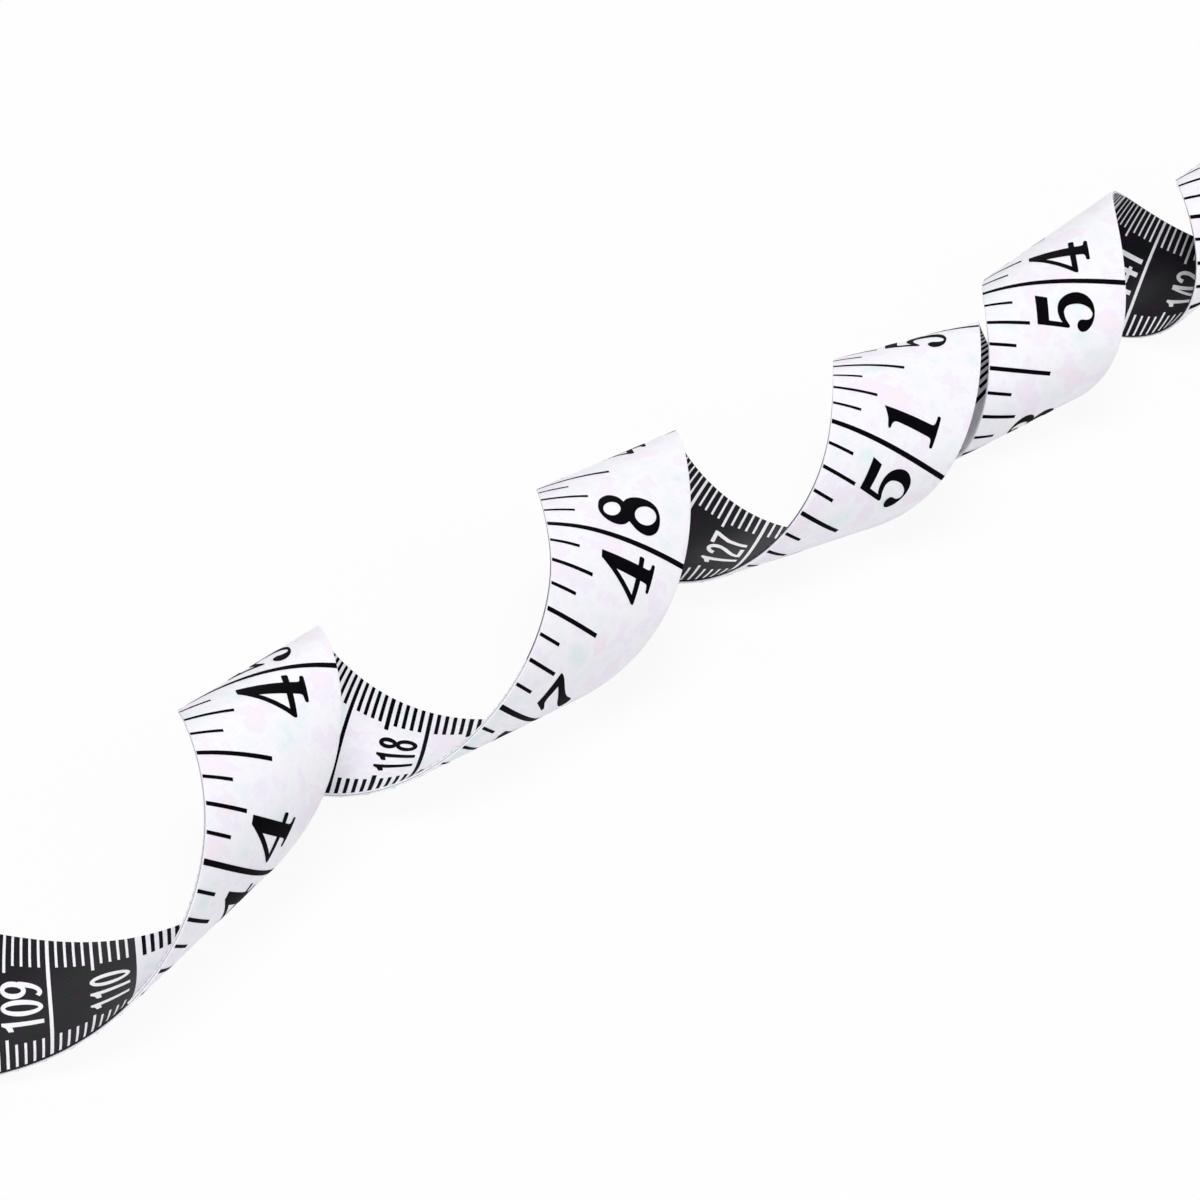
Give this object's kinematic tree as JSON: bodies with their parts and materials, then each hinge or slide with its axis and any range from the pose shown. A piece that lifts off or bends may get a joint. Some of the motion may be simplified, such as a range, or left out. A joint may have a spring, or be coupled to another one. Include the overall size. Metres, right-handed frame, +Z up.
{
  "type": "tape measure",
  "caption": "Soft dressmaker's tape measure in a loose spiral, with one end rolled up, a scale printed on each face and a crimped metal tip on each end.",
  "frame": {"origin": "middle of the bottom of the bounding box, on the surface that the tape lies on", "axes": "+X along the spiral from the rolled zero end to the far end, +Y towards the side away from the viewer of the picture, +Z up"},
  "size_m": [0.3994, 0.0682, 0.0439],
  "materials": {
    "coated_cloth": "smooth satin coating on cloth, with a printed scale on each face",
    "tip_metal": "bright plated sheet, lightly worn"
  },
  "bodies": {
    "root": {"tape_roll": "coated_cloth", "tape_spiral": "coated_cloth", "zero_end_tip": "tip_metal", "far_end_tip": "tip_metal"}
  },
  "joints": []
}
